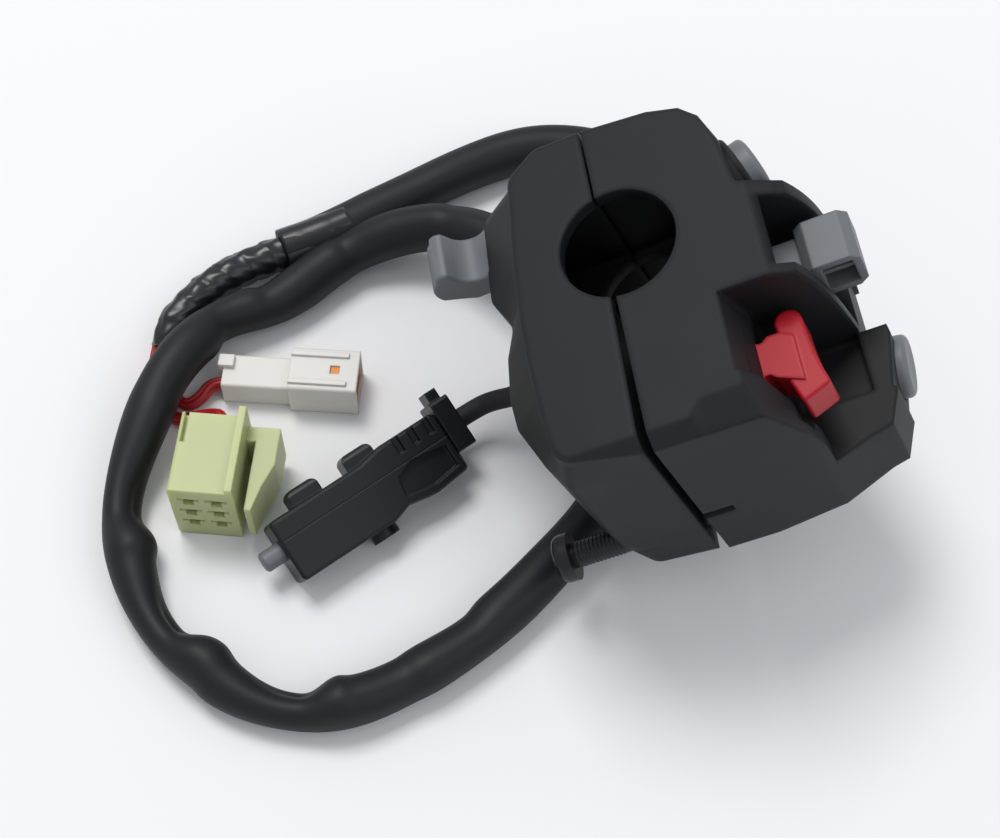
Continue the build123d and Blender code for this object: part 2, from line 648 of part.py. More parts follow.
def rocker_bosses():
    """Two bosses behind the rocker's floor, which hold its pin."""
    half = ROCKER_BLOCK_W / 2 + SEAT_GAP
    bosses = None
    for side in (-1, 1):
        near = ROCKER_MID_Z + side * half
        far = near + side * 2 * WALL
        low, high = min(near, far), max(near, far)
        boss = block(
            (ROCKER_PIVOT_X - ROCKER_HUB_R, ROCKER_FLOOR - WALL / 2),
            (ROCKER_PIVOT_Y - ROCKER_HUB_R - WALL, ROCKER_PIVOT_Y + ROCKER_HUB_R + WALL),
            (low, high),
        )
        bosses = boss if bosses is None else bosses + boss
    return bosses


def nut_room(place):
    """The square pocket that keeps a clamp nut from turning."""
    half = NUT_SIDE / 2 + RUN_GAP
    room = Pos(0, 0, NUT_T) * Box(2 * half, 2 * half, NUT_T + 2 * RUN_GAP)
    return place * room


def clamp_nut(place):
    nut = Pos(0, 0, NUT_T) * Box(NUT_SIDE, NUT_SIDE, NUT_T)
    nut = chamfer(nut.edges().filter_by(Axis.Z), 0.08 * NUT_SIDE)
    nut -= rod(Pos(0, 0, 0), SCREW_R + RUN_GAP, 0, 2 * NUT_T)
    return place * nut


def pan_screw(place, head_seat, length):
    """A pan head machine screw whose head's underside is at head_seat, with thread rings."""
    head_low = head_seat - SCREW_HEAD_T
    dome = (0.62 * SCREW_HEAD_R, head_low)
    rim = (SCREW_HEAD_R, head_seat - 0.55 * SCREW_HEAD_T)
    bulge = (0.91 * SCREW_HEAD_R, head_low + 0.13 * SCREW_HEAD_T)
    tip = head_seat + length
    profile = [
        Line((0, head_low), dome),
        ThreePointArc(dome, bulge, rim),
        Line(rim, (SCREW_HEAD_R, head_seat)),
        Line((SCREW_HEAD_R, head_seat), (SCREW_R, head_seat)),
        Line((SCREW_R, head_seat), (SCREW_R, tip - SCREW_PITCH)),
        Line((SCREW_R, tip - SCREW_PITCH), (SCREW_R - SCREW_PITCH, tip)),
        Line((SCREW_R - SCREW_PITCH, tip), (0, tip)),
        Line((0, tip), (0, head_low)),
    ]
    screw = revolve(Plane.XZ * make_face(profile), Axis.Z)
    socket = RegularPolygon(SCREW_SOCKET_R, 6)
    screw -= extrude(Pos(0, 0, head_low) * socket, amount=0.6 * SCREW_HEAD_T)
    return place * screw


def switch_carrier():
    """The moulded plate behind the paddle, with two ears that hold the paddle's pin."""
    plate = block(
        (CARRIER_X, BOARD_X), (-CARRIER_DROP, CARRIER_TOP), (-CARRIER_FAR, -CARRIER_NEAR)
    )
    ear_len = 2 * PADDLE_HUB_R
    hub_half = PADDLE_NECK_W / 2 + RUN_GAP
    for side in (-1, 1):
        inner = PADDLE_Y + side * hub_half
        outer = inner + side * EAR_T
        ear = block(
            (BOARD_X, PADDLE_PIVOT_X + PIN_R + EAR_T), (min(inner, outer), max(inner, outer)),
            (PADDLE_PIVOT_Z - ear_len / 2, PADDLE_PIVOT_Z + ear_len / 2),
        )
        plate += ear
    plate -= paddle_pin(0)
    plate -= rod(
        detent_place(), BALL_R + RUN_GAP,
        PADDLE_PIVOT_X - PADDLE_HUB_R - 2 * BALL_R - 2 * RUN_GAP - BOARD_X, WALL,
    )
    for place in CARRIER_SCREW_PLACES:
        plate -= rod(place, CARRIER_SCREW_R + FIT_GAP, 0, 2 * CARRIER_X)
    return plate


def detent_place():
    """Where the ball behind the paddle's hub sits, on the plate's outer face."""
    return Pos(BOARD_X, PADDLE_Y, PADDLE_PIVOT_Z) * ACROSS_X


def detent_ball():
    reach = PADDLE_PIVOT_X - PADDLE_HUB_R - BALL_R - RUN_GAP
    return Pos(reach, PADDLE_Y, PADDLE_PIVOT_Z) * Sphere(BALL_R)


def contact_board():
    """The printed board on the carrier, cut away round the paddle's ears and ball."""
    low_y = -CARRIER_DROP + BOARD_INSET
    high_y = CARRIER_TOP - BOARD_INSET
    board = block(
        (BOARD_X, BOARD_TOP_X), (low_y, high_y),
        (-CARRIER_FAR + BOARD_INSET, -CARRIER_NEAR - BOARD_INSET),
    )
    reach = PADDLE_NECK_W / 2 + EAR_T + 2 * SEAT_GAP
    board -= block(
        (0, OVERRUN), (PADDLE_Y - reach, PADDLE_Y + reach),
        (PADDLE_PIVOT_Z - PADDLE_HUB_R - 2 * SEAT_GAP, PADDLE_PIVOT_Z + PADDLE_HUB_R + 2 * SEAT_GAP),
    )
    for place in CARRIER_SCREW_PLACES:
        board -= rod(place, CARRIER_SCREW_R + FIT_GAP, 0, 2 * CARRIER_X)
    return board


def carrier_screws():
    """Two small screws from the bar side, through the carrier and board into the posts."""
    screws = []
    for place in CARRIER_SCREW_PLACES:
        head = rod(place, CARRIER_SCREW_HEAD_R, CARRIER_X - CARRIER_SCREW_HEAD_T, CARRIER_X)
        shank = rod(place, CARRIER_SCREW_R - RUN_GAP, CARRIER_X, CARRIER_X + CARRIER_SCREW_LEN)
        screws.append(head + shank)
    return Compound(children=screws)


def key_switch(place, board_x, mouth, stem_end, travel):
    """A sealed round key switch on its board, whose bore takes a button's stem."""
    body = rod(Pos(0, 0, 0), KEY_SWITCH_R, -2 * board_x, -mouth)
    body = chamfer(body.faces().sort_by(Axis.Z)[-1].edges(), 0.15 * KEY_SWITCH_R)
    body -= rod(Pos(0, 0, 0), STEM_R + RUN_GAP, -stem_end - travel - RUN_GAP, 0)
    return (place * body) & block((board_x, 2 * board_x), (-OVERRUN, OVERRUN), (-OVERRUN, 0))


def push_button(place, radius, inner, outer, stem):
    """A round button: a dished cap with a soft edge, a skirt and a stem."""
    cap = rod(Pos(0, 0, 0), radius, -inner, outer)
    cap = fillet(cap.faces().sort_by(Axis.Z)[-1].edges(), 0.2 * radius)
    dish = 6 * radius
    cap -= Pos(0, 0, outer + dish - 0.06 * radius) * Sphere(dish)
    cap += rod(Pos(0, 0, 0), STEM_R, -stem, -inner)
    return place * cap


def top_bezel():
    ring = rod(Pos(0, 0, 0), TOP_BEZEL_R, -TOP_BUTTON_IN, -TOP_BUTTON_IN + TOP_BEZEL_T)
    ring = chamfer(ring.faces().sort_by(Axis.Z)[-1].edges(), 0.3 * TOP_BEZEL_T)
    ring -= rod(Pos(0, 0, 0), TOP_BUTTON_R + FIT_GAP, -OVERRUN, OVERRUN)
    return TOP_BUTTON_PLACE * ring


def mode_board():
    """The small board in the pod, behind the mode button."""
    return mode_room(FIT_GAP, MODE_BOARD_X - BOARD_T, MODE_BOARD_X)


def paddle_pin(gap):
    half = PADDLE_NECK_W / 2 + RUN_GAP + EAR_T
    place = Pos(PADDLE_PIVOT_X, PADDLE_Y, PADDLE_PIVOT_Z) * Rot(90, 0, 0)
    return rod(place, PIN_R + gap, -half, half)


def paddle():
    """The turn signal paddle: a hollow box cap, open below, on a flat neck and a hub."""
    near = PADDLE_PIVOT_Z + PADDLE_LEN / 2
    far = PADDLE_PIVOT_Z - PADDLE_LEN / 2
    low = PADDLE_Y - PADDLE_W / 2
    high = PADDLE_Y + PADDLE_W / 2
    drop = 0.17 * PADDLE_LEN
    side = [
        (PADDLE_BASE_X, near - drop), (PADDLE_BASE_X + drop, near), (PADDLE_TIP_X - drop, near),
        (PADDLE_TIP_X, near - drop), (PADDLE_TIP_X, far + drop), (PADDLE_TIP_X - drop, far),
        (PADDLE_BASE_X, far),
    ]
    cap = along_y(side, low, high)
    cap = fillet(cap.edges().filter_by(Axis.Y), 0.25 * PADDLE_WALL)
    cap -= block(
        (PADDLE_BASE_X + 2 * PADDLE_WALL, PADDLE_TIP_X - PADDLE_WALL),
        (low - WALL, high - PADDLE_WALL),
        (far + PADDLE_WALL, near - PADDLE_WALL),
    )
    cap += block(
        (PADDLE_BASE_X + PADDLE_WALL, PADDLE_TIP_X - PADDLE_WALL / 2),
        (low + PADDLE_WALL, high - PADDLE_WALL),
        (PADDLE_PIVOT_Z - PADDLE_WALL / 3, PADDLE_PIVOT_Z + PADDLE_WALL / 3),
    )
    neck = block(
        (PADDLE_PIVOT_X, PADDLE_BASE_X + PADDLE_WALL),
        (PADDLE_Y - PADDLE_NECK_W / 2, PADDLE_Y + PADDLE_NECK_W / 2),
        (PADDLE_PIVOT_Z - PADDLE_NECK_T / 2, PADDLE_PIVOT_Z + PADDLE_NECK_T / 2),
    )
    place = Pos(PADDLE_PIVOT_X, PADDLE_Y, PADDLE_PIVOT_Z) * Rot(90, 0, 0)
    hub = rod(place, PADDLE_HUB_R, -PADDLE_NECK_W / 2, PADDLE_NECK_W / 2)
    return cap + neck + hub - paddle_pin(RUN_GAP)


def rocker_pin(gap):
    half = ROCKER_BLOCK_W / 2 + SEAT_GAP + 1.6 * WALL
    place = Pos(ROCKER_PIVOT_X, ROCKER_PIVOT_Y, ROCKER_MID_Z)
    return rod(place, PIN_R + gap, -half, half)


def red_rocker():
    """The red rocker: a block on a drum, under a thumb lobe with a wedge nose below it."""
    low_z = ROCKER_MID_Z - ROCKER_BLOCK_W / 2
    high_z = ROCKER_MID_Z + ROCKER_BLOCK_W / 2
    y = ROCKER_PIVOT_Y
    half = ROCKER_BLOCK_H / 2
    drum = rod(Pos(ROCKER_PIVOT_X, y, ROCKER_MID_Z), ROCKER_DRUM_R,
               -ROCKER_BLOCK_W / 2, ROCKER_BLOCK_W / 2)
    drum &= block(
        (ROCKER_PIVOT_X - ROCKER_HUB_R, OVERRUN), (y - ROCKER_DRUM_R, y + ROCKER_DRUM_R),
        (-OVERRUN, 0),
    )
    step = ROCKER_FLOOR + WALL / 2
    base = [
        (ROCKER_PIVOT_X, y + half), (step, y + half), (step + WALL / 2, y + 1.28 * half),
        (ROCKER_CAP_X, y + 1.28 * half), (ROCKER_CAP_X + WALL, y + 0.9 * half),
        (ROCKER_CAP_X + WALL, y - 1.9 * half), (step + WALL / 2, y - 1.28 * half),
        (step, y - half), (ROCKER_PIVOT_X, y - half),
    ]
    body = along_z(base, low_z, high_z) + drum
    lobe_low = (ROCKER_CAP_X - 0.27 * WALL, y + 0.72 * ROCKER_TOP)
    lobe_top = (ROCKER_CAP_X + 0.86 * WALL, y + 1.14 * ROCKER_TOP)
    lobe_high = (ROCKER_TIP_X - 0.9 * WALL, y + 0.82 * ROCKER_TOP)
    nose_low = (ROCKER_CAP_X + 0.36 * WALL, y - ROCKER_NOSE)
    nose_high = (ROCKER_TIP_X, y - 0.78 * ROCKER_NOSE)
    waist = (ROCKER_TIP_X - 0.75 * WALL, y + 0.04 * ROCKER_NOSE)
    heel = (ROCKER_CAP_X - 0.27 * WALL, y - 0.55 * ROCKER_NOSE)
    profile = [
        Line(heel, lobe_low),
        ThreePointArc(lobe_low, lobe_top, lobe_high),
        ThreePointArc(lobe_high, waist, nose_high),
        Line(nose_high, nose_low),
        Line(nose_low, heel),
    ]
    face = make_face(profile)
    face = fillet(face.vertices().sort_by(Axis.Y)[:2], 0.1 * ROCKER_CAP_W)
    cap_low = ROCKER_MID_Z - ROCKER_CAP_W / 2
    cap = extrude(Pos(0, 0, cap_low) * face, amount=ROCKER_CAP_W)
    cap = chamfer(cap.faces().sort_by(Axis.Z)[-1].edges(), 0.05 * ROCKER_CAP_W)
    return body + cap - rocker_pin(RUN_GAP)


def trigger_pin(gap):
    low = TRIGGER_LOW - TRIGGER_SLOT_GAP - TRIGGER_PIN_END
    high = TRIGGER_HIGH + TRIGGER_SLOT_GAP + TRIGGER_PIN_END
    place = Pos(TRIGGER_PIVOT_X, 0, TRIGGER_PIVOT_Z) * Rot(90, 0, 0)
    return rod(place, PIN_R + gap, -high, -low)


def finger_trigger():
    """The finger trigger: a scooped blade with a raised lip, on a hub in the front case."""
    px, pz = TRIGGER_PIVOT_X, TRIGGER_PIVOT_Z
    out = px + TRIGGER_REACH
    r = TRIGGER_HUB_R
    root_near = (px, pz + r)
    dip_start = (px - 0.28 * out, pz + 0.90 * r)
    dip = (px - 0.53 * out, pz + 0.62 * r)
    dip_end = (px - 0.66 * out, pz + 1.25 * r)
    lip_near = (px - 0.725 * out, pz + 2.05 * r)
    lip = (px - 0.80 * out, pz + 2.15 * r)
    lip_far = (px - 0.90 * out, pz + 1.5 * r)
    tip = (-TRIGGER_REACH, pz + 0.35 * r)
    toe = (px - 0.95 * out, pz - 0.45 * r)
    back = (px - 0.79 * out, pz - 0.85 * r)
    heel = (px - 0.60 * out, pz - 1.4 * r)
    root_far = (px - 0.16 * out, pz - 1.3 * r)
    profile = [
        Line(root_near, dip_start),
        ThreePointArc(dip_start, dip, dip_end),
        Line(dip_end, lip_near),
        ThreePointArc(lip_near, lip, lip_far),
        ThreePointArc(lip_far, tip, toe),
        Polyline(toe, back, heel, root_far, (px, pz - r), root_near),
    ]
    face = Plane.XZ.offset(-TRIGGER_HIGH) * make_face(profile)
    blade = extrude(face, amount=TRIGGER_HIGH - TRIGGER_LOW)
    blade = fillet(blade.faces().sort_by(Axis.Y)[0].edges().filter_by(
        lambda e: e.center().X < px - 0.28 * out
    ), 0.2 * r)
    place = Pos(px, 0, pz) * Rot(90, 0, 0)
    hub = rod(place, r, -TRIGGER_HIGH, -TRIGGER_LOW)
    finger = block(
        (px, FINGER_X), (MICRO_Y + 0.7 * WALL, MICRO_Y + MICRO_H - 0.7 * WALL),
        (FINGER_TOP - FINGER_T, FINGER_TOP),
    )
    return blade + hub + finger - trigger_pin(RUN_GAP)


def microswitch_pin():
    """The microswitch's own pin, which the trigger's finger lifts."""
    x = MICRO_X + 0.55 * MICRO_W
    y = MICRO_Y + MICRO_H / 2
    low = FINGER_TOP + RUN_GAP + MICRO_PIN_R
    pin = rod(Pos(x, y, 0), MICRO_PIN_R, low, MICRO_Z + MICRO_PIN_TRAVEL)
    return pin + Pos(x, y, low) * Sphere(MICRO_PIN_R)


def microswitch():
    """The small switch that the trigger works: a sealed body with a bore for its pin."""
    body = block(
        (MICRO_X, MICRO_X + MICRO_W), (MICRO_Y, MICRO_Y + MICRO_H), (MICRO_Z, MICRO_Z + MICRO_LEN)
    )
    body = chamfer(body.edges().filter_by(Axis.Y), 0.1 * MICRO_W)
    bore = Pos(MICRO_X + 0.55 * MICRO_W, MICRO_Y + MICRO_H / 2, 0)
    return body - rod(bore, MICRO_PIN_R + RUN_GAP, MICRO_Z - WALL, MICRO_Z + 2.4 * MICRO_PIN_TRAVEL)


def harness_grommet():
    """The rubber grommet in the outlet, which the sleeve butts on."""
    flange = rod(OUTLET_PLACE, GROMMET_FLANGE_R, OUTLET_LEN, OUTLET_LEN + GROMMET_FLANGE_T)
    plug = rod(OUTLET_PLACE, OUTLET_BORE_R - RUN_GAP, OUTLET_LEN - GROMMET_DEPTH, OUTLET_LEN)
    bore = rod(OUTLET_PLACE, GROMMET_CORE_R - RUN_GAP, -OVERRUN, OUTLET_LEN)
    return flange + plug - bore


def lead_grommet():
    """The tapered strain relief where the lever switch's lead leaves the front case."""
    plug = rod(LEAD_PLACE, LEAD_GROMMET_R - RUN_GAP, -LEAD_GROMMET_LEN, 0)
    cone = LEAD_PLACE * Pos(0, 0, LEAD_GROMMET_LEN / 2) * Cone(
        LEAD_GROMMET_R + 0.3 * WALL, LEAD_D / 2 + 0.3 * WALL, LEAD_GROMMET_LEN
    )
    return plug + cone


def lever_place():
    """The lever switch's frame: x along it, y across it, its long lower edge on the table."""
    tilt = math.radians(LEVER_TILT_DEG)
    low = LEVER_W / 2 * math.sin(tilt) + LEVER_T / 2 * math.cos(tilt)
    return (
        Pos(LEVER_X, LEVER_Y, TABLE_Z + low) * Rot(0, 0, LEVER_TURN_DEG)
        * Rot(LEVER_TILT_DEG, 0, 0)
    )


def lever_block():
    """The lever switch's whole moulding: a plain block, a waist and a sculpted head."""
    half = LEVER_W / 2
    end = LEVER_LEN / 2
    points = [
        (-end, -half), (-end, half), (0.06 * end, half), (0.34 * end, 1.16 * half),
        (0.94 * end, 1.16 * half), (end, 1.02 * half), (end, -0.86 * half),
        (0.60 * end, -0.98 * half), (0.30 * end, -0.80 * half), (0.08 * end, -half),
    ]
    shell = along_z(points, -LEVER_T / 2, LEVER_T / 2)
    shell = fillet(shell.edges().filter_by(Axis.Z), 0.08 * LEVER_W)
    shell = chamfer(shell.faces().sort_by(Axis.Z)[-1].edges(), 0.06 * LEVER_T)
    for x in (-0.52 * end, 0.12 * end):
        lug = block(
            (x - LEVER_PEG_W / 2, x + LEVER_PEG_W / 2), (0, half + LEVER_PEG_OUT),
            (-LEVER_PEG_T / 2, LEVER_PEG_T / 2),
        )
        shell += fillet(lug.faces().sort_by(Axis.Y)[-1].edges(), 0.22 * LEVER_PEG_W)
    foot = Pos(-0.04 * end, -half, 0) * Rot(90, 0, 0)
    shell += rod(foot, LEVER_FOOT_R, -half, LEVER_FOOT_OUT)

    # The scooped face of the head, with two steps across it
    scoop = [
        (0.30 * end, -0.55 * half), (0.62 * end, -0.72 * half), (0.92 * end, -0.60 * half),
        (0.92 * end, 0.10 * half), (0.55 * end, 0.28 * half), (0.34 * end, 0.05 * half),
    ]
    shell -= along_z(scoop, LEVER_T / 2 - 0.16 * LEVER_T, LEVER_T)
    for share in (0.48, 0.66, 0.84):
        shell -= block(
            (share * end, share * end + 0.07 * end), (0.62 * half, 2 * half),
            (LEVER_T / 2 - 0.12 * LEVER_T, LEVER_T),
        )

    # The chamber that the plunger's flange runs in, and the bore to it
    line = plunger_line()
    shell -= rod(line, 1.45 * PLUNGER_R + FIT_GAP, -end + WALL, -0.2 * end)
    shell -= rod(line, PLUNGER_R + RUN_GAP, -end - WALL, 0)
    return shell


def plunger_line():
    return Pos(0, PLUNGER_Y, 0) * ACROSS_X


def lever_switch_body():
    """The lower moulding of the lever switch, below the seam."""
    return lever_block() & block((-OVERRUN, OVERRUN), (-OVERRUN, LEVER_SEAM), (-OVERRUN, OVERRUN))


def lever_switch_cover():
    """The upper moulding of the lever switch, with the two lugs."""
    return lever_block() & block((-OVERRUN, OVERRUN), (LEVER_SEAM, OVERRUN), (-OVERRUN, OVERRUN))


def lever_switch_end():
    """The block at the lead's end of the lever switch, with its raised key."""
    end = LEVER_LEN / 2
    out = end + LEVER_END_LEN
    piece = block((end, out), (LEVER_END_LOW, LEVER_END_HIGH), (-LEVER_T / 2, LEVER_T / 2))
    piece = fillet(piece.edges().filter_by(Axis.X), 0.18 * LEVER_END_LEN)
    key = block(
        (end + 0.2 * LEVER_END_LEN, out - 0.2 * LEVER_END_LEN),
        (LEVER_END_HIGH - WALL, LEVER_END_HIGH + LEVER_KEY), (-0.3 * LEVER_T, 0.3 * LEVER_T),
    )
    return piece + key


def lever_plunger():
    """The grey plunger, with a flange inside that keeps it from falling out."""
    end = LEVER_LEN / 2
    line = plunger_line()
    tip = rod(line, PLUNGER_R, -end - PLUNGER_OUT, -end + 2 * WALL)
    tip = fillet(tip.faces().sort_by(Axis.X)[0].edges(), 0.35 * PLUNGER_R)
    flange = rod(line, 1.45 * PLUNGER_R, -end + WALL + RUN_GAP, -end + 2 * WALL)
    return tip + flange


def white_place():
    return Pos(WHITE_X, WHITE_Y, TABLE_Z) * Rot(0, 0, WHITE_TURN_DEG)


def white_shell():
    """The white connector: a slim rear, a wider front with a mouth, a window and a lug."""
    side = (WHITE_REAR_W - WHITE_W) / 2
    wide = (side, side + WHITE_W)
    rear = block((0, WHITE_REAR_LEN), (0, WHITE_REAR_W), (0, WHITE_REAR_H))
    rear = fillet(rear.edges().filter_by(Axis.X), 0.1 * WHITE_REAR_H)
    front = block((WHITE_REAR_LEN, WHITE_LEN), wide, (0, WHITE_H))
    front = fillet(front.edges().filter_by(Axis.X), 0.1 * WHITE_REAR_H)
    shell = rear + front
    shell += block(
        (-WHITE_WALL, 2 * WHITE_WALL), (0.55 * WHITE_REAR_W, 0.9 * WHITE_REAR_W),
        (WHITE_REAR_H / 2, WHITE_REAR_H + WHITE_WALL),
    )
    for y in (0, WHITE_REAR_W - WHITE_WALL):
        shell += block(
            (WHITE_REAR_LEN, WHITE_LEN - 2 * WHITE_WALL), (y, y + WHITE_WALL),
            (WHITE_H / 2, WHITE_H + WHITE_WALL / 2),
        )
    mouth = block(
        (WHITE_LEN - WHITE_MOUTH, WHITE_LEN + WALL), (wide[0] + WHITE_WALL, wide[1] - WHITE_WALL),
        (WHITE_WALL, WHITE_H - WHITE_WALL),
    )
    shell -= mouth
    shell -= white_window(WHITE_H - 2 * WHITE_WALL, OVERRUN, RUN_GAP)
    for y, z in white_cavities():
        shell -= white_pin_rod(y, z, 0, WHITE_PIN / 2)
    return shell


def white_window(low, high, gap):
    """The square window near the mouth, where the orange lock shows."""
    mid_y = WHITE_REAR_W / 2
    half = WHITE_WINDOW / 2 + gap
    x = WHITE_LEN - 2.6 * WHITE_WINDOW
    return block((x - half, x + half), (mid_y - half, mid_y + half), (low, high))


def white_cavities():
    """Where the four contacts sit, across the connector."""
    mid_y = WHITE_REAR_W / 2
    mid_z = WHITE_H / 2
    return [
        (mid_y + y * WHITE_REAR_W / 5, mid_z + z * WHITE_H / 7) for y in (-1, 1) for z in (-1, 1)
    ]


def white_pin_rod(y, z, gap, half):
    return block(
        (WHITE_REAR_LEN, WHITE_LEN - 0.65 * WHITE_MOUTH), (y - half - gap, y + half + gap),
        (z - half - gap, z + half + gap),
    )


def white_lock():
    """The orange lock: a sleeve lining the mouth, with the tab that shows in the window."""
    side = (WHITE_REAR_W - WHITE_W) / 2
    outer = (side + WHITE_WALL + RUN_GAP, side + WHITE_W - WHITE_WALL - RUN_GAP)
    height = (WHITE_WALL + RUN_GAP, WHITE_H - WHITE_WALL - RUN_GAP)
    skin = 0.6 * WHITE_WALL
    low_x = WHITE_LEN - WHITE_MOUTH + RUN_GAP
    high_x = WHITE_LEN - WHITE_WALL / 2
    lock = block((low_x, high_x), outer, height)
    lock -= block(
        (low_x + skin, high_x + WALL), (outer[0] + skin, outer[1] - skin),
        (height[0] + skin, height[1] - skin),
    )
    lock += white_window(height[1] - skin / 2, WHITE_H - WHITE_WALL / 3, -RUN_GAP)
    for y, z in white_cavities():
        lock -= white_pin_rod(y, z, RUN_GAP, WHITE_PIN / 2)
    return lock


def white_contacts():
    pins = [white_pin_rod(y, z, 0, WHITE_PIN / 2) for y, z in white_cavities()]
    return Compound(children=pins)


def green_place():
    return Pos(GREEN_X, GREEN_Y, TABLE_Z) * Rot(0, 0, GREEN_TURN_DEG)


def green_cavities():
    """Centres of the two by three cavities in the front face."""
    return [
        (GREEN_W / 2 + column * GREEN_PITCH_X / 2, GREEN_H / 2 + row * GREEN_PITCH_Z)
        for column in (-1, 1) for row in (-1, 0, 1)
    ]


def green_housing():
    """The green connector: a block with a flange on its right edge and a latch beside it."""
    shell = block((0, GREEN_W), (0, GREEN_LEN), (0, GREEN_H))
    shell = fillet(shell.edges().filter_by(Axis.Y), 0.06 * GREEN_W)
    shell += block(
        (GREEN_W - GREEN_FLANGE, GREEN_W), (0, GREEN_LEN + GREEN_FLANGE),
        (GREEN_H / 2, GREEN_H + GREEN_FLANGE),
    )
    root = GREEN_LEN - 2.2 * GREEN_FLANGE
    latch = [
        (GREEN_W, root), (GREEN_W, GREEN_LEN), (GREEN_W + GREEN_LATCH, GREEN_LEN),
        (GREEN_W + GREEN_LATCH, 0.55 * GREEN_LEN), (GREEN_W + 0.7 * GREEN_LATCH, 0.25 * GREEN_LEN),
        (GREEN_W + 0.5 * GREEN_LATCH, -0.05 * GREEN_LEN),
        (GREEN_W + 0.3 * GREEN_LATCH, -0.05 * GREEN_LEN), (GREEN_W + 0.3 * GREEN_LATCH, root),
    ]
    shell += along_z(latch, 0.18 * GREEN_H, 0.78 * GREEN_H)
    shell -= block(
        (GREEN_FLANGE / 2, GREEN_W / 8), (0.62 * GREEN_LEN, GREEN_LEN + WALL),
        (GREEN_H - GREEN_FLANGE, GREEN_H + WALL),
    )
    for x, z in green_cavities():
        half = GREEN_CAVITY / 2
        shell -= block((x - half, x + half), (-WALL, GREEN_CAVITY_DEEP), (z - half, z + half))
        shell -= block(
            (x - 2 * half, x + 2 * half), (-WALL, GREEN_FLANGE / 3), (z + half / 2, z + 1.4 * half)
        )
    return shell


def green_terminals():
    """The brass sockets that sit at the bottom of the cavities, each an open tube."""
    tubes = []
    half = GREEN_TUBE_W / 2
    for x, z in green_cavities():
        tube = block(
            (x - half, x + half), (GREEN_CAVITY, GREEN_CAVITY_DEEP),
            (z - GREEN_CAVITY / 2, z - GREEN_CAVITY / 2 + GREEN_TUBE_W),
        )
        tube -= block(
            (x - half / 2, x + half / 2), (0, 0.7 * GREEN_CAVITY_DEEP),
            (z - 0.9 * half, z - 0.1 * half),
        )
        tubes.append(tube)
    return Compound(children=tubes)


def cord(name, route, diameter):
    """A round cord along straight runs joined by arcs, whose radii it prints."""
    radii = []
    for before, here, after in zip(route, route[1:], route[2:]):
        into = Vector(*here) - Vector(*before)
        onward = Vector(*after) - Vector(*here)
        half_turn = math.radians(into.get_angle(onward)) / 2
        run = min(into.length, onward.length)
        radii.append(CORNER_SHARE * run / math.tan(half_turn))
    path = FilletPolyline(*route, radius=radii)
    print(name, "radii", [round(r, 1) for r in radii], "length", round(path.length, 1))
    section = Plane(origin=path @ 0, z_dir=path % 0) * Circle(diameter / 2)
    return sweep(section, path=path)


PARTS = {}


def add(name, solid):
    PARTS[name] = solid


def build():
    add("front_case", lean(front_case()))
    add("rear_case", lean(rear_case()))
    add("lower_clamp_screw", lean(pan_screw(LOWER_SCREW_PLACE, -LOWER_SCREW_OUT, LOWER_SCREW_LEN)))
    add("upper_clamp_screw", lean(pan_screw(UPPER_SCREW_PLACE, -UPPER_SCREW_IN, UPPER_SCREW_LEN)))
    nuts = [lean(clamp_nut(place)) for place in (LOWER_SCREW_PLACE, UPPER_SCREW_PLACE)]
    add("clamp_nuts", Compound(children=nuts))
    add("switch_carrier", lean(switch_carrier()))
    add("contact_board", lean(contact_board()))
    add("carrier_screws", lean(carrier_screws()))
    add("top_button", lean(push_button(
        TOP_BUTTON_PLACE, TOP_BUTTON_R, TOP_BUTTON_IN, TOP_BUTTON_OUT, TOP_STEM_LEN)))
    add("top_button_bezel", lean(top_bezel()))
    add("top_key_switch", lean(key_switch(
        TOP_BUTTON_PLACE, BOARD_TOP_X, TOP_SWITCH_IN, TOP_STEM_LEN, TOP_BUTTON_TRAVEL)))
    add("mode_button", lean(push_button(MODE_PLACE, MODE_R, MODE_IN, MODE_OUT, MODE_STEM_LEN)))
    add("mode_key_switch", lean(key_switch(
        MODE_PLACE, MODE_BOARD_X, MODE_SWITCH_IN, MODE_STEM_LEN, MODE_TRAVEL)))
    add("mode_board", lean(mode_board()))
    add("turn_paddle", lean(paddle()))
    add("turn_paddle_pin", lean(paddle_pin(0)))
    add("turn_detent_ball", lean(detent_ball()))
    add("red_rocker", lean(red_rocker()))
    add("red_rocker_pin", lean(rocker_pin(0)))
    add("finger_trigger", lean(finger_trigger()))
    add("trigger_pin", lean(trigger_pin(0)))
    add("trigger_microswitch", lean(microswitch()))
    add("microswitch_pin", lean(microswitch_pin()))
    add("harness_grommet", lean(harness_grommet()))
    add("lead_grommet", lean(lead_grommet()))
    place = lever_place()
    add("lever_switch_body", place * lever_switch_body())
    add("lever_switch_cover", place * lever_switch_cover())
    add("lever_switch_end", place * lever_switch_end())
    add("lever_plunger", place * lever_plunger())
    add("white_connector_shell", white_place() * white_shell())
    add("white_connector_lock", white_place() * white_lock())
    add("white_connector_contacts", white_place() * white_contacts())
    add("green_connector_housing", green_place() * green_housing())
    add("green_connector_terminals", green_place() * green_terminals())
    add("harness_sleeve", cord("harness_sleeve", HARNESS_ROUTE, HARNESS_D))
    add("harness_taped_end", cord("harness_taped_end", TAPED_ROUTE, TAPED_D))
    add("white_connector_wires", cord("white_connector_wires", WHITE_WIRES_ROUTE, BUNDLE_D))
    add("green_connector_wires", cord("green_connector_wires", GREEN_WIRES_ROUTE, BUNDLE_D))
    add("lever_switch_lead", cord("lever_switch_lead", LEAD_ROUTE, LEAD_D))


build()
os.makedirs("parts", exist_ok=True)
for node, solid in PARTS.items():
    export_step(solid, f"parts/{node}.step")
    print(node, round(solid.volume, 1))
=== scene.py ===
"""Motorbike handlebar switch cluster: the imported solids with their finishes, cords and fine detail."""
import math

